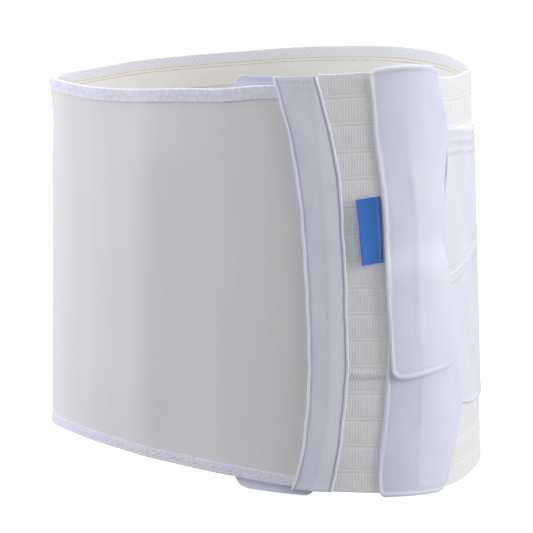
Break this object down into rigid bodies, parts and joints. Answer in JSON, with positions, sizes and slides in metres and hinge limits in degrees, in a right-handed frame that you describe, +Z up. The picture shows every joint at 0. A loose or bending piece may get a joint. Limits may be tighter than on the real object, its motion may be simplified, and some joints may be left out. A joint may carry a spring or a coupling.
{
  "type": "ostomy support belt",
  "caption": "Wide elastic belly belt closed into an upright oval tube, with a smooth front panel, velour closing strip, hook flaps and side straps.",
  "frame": {"origin": "middle of the belt's box, on the surface that it stands on", "axes": "+Z up along the wearer's body, -Y towards the front where the smooth panel is, +X towards the side where the flaps close"},
  "size_m": [0.3308, 0.2282, 0.2696],
  "materials": {
    "ribbed_elastic": "matt ribbed elastic webbing, cream",
    "panel_knit": "smooth matt warp knit, cream",
    "binding_tape": "soft lilac white tape with zigzag stitching",
    "velour": "short brushed velour, cool white",
    "soft_tab": "brushed knit, cool white",
    "flap_cloth": "brushed laminated knit, cool white",
    "strap_cloth": "brushed elastic, cool white",
    "woven_tag": "woven satin tag, blue, bare"
  },
  "bodies": {
    "root": {"elastic_band": "ribbed_elastic", "front_panel": "panel_knit", "panel_top_binding": "binding_tape", "panel_bottom_binding": "binding_tape", "closing_strip": "velour", "inner_tab": "soft_tab", "upper_flap": "flap_cloth", "lower_flap": "flap_cloth", "upper_strap": "strap_cloth", "lower_strap": "strap_cloth", "label": "woven_tag"}
  },
  "joints": []
}
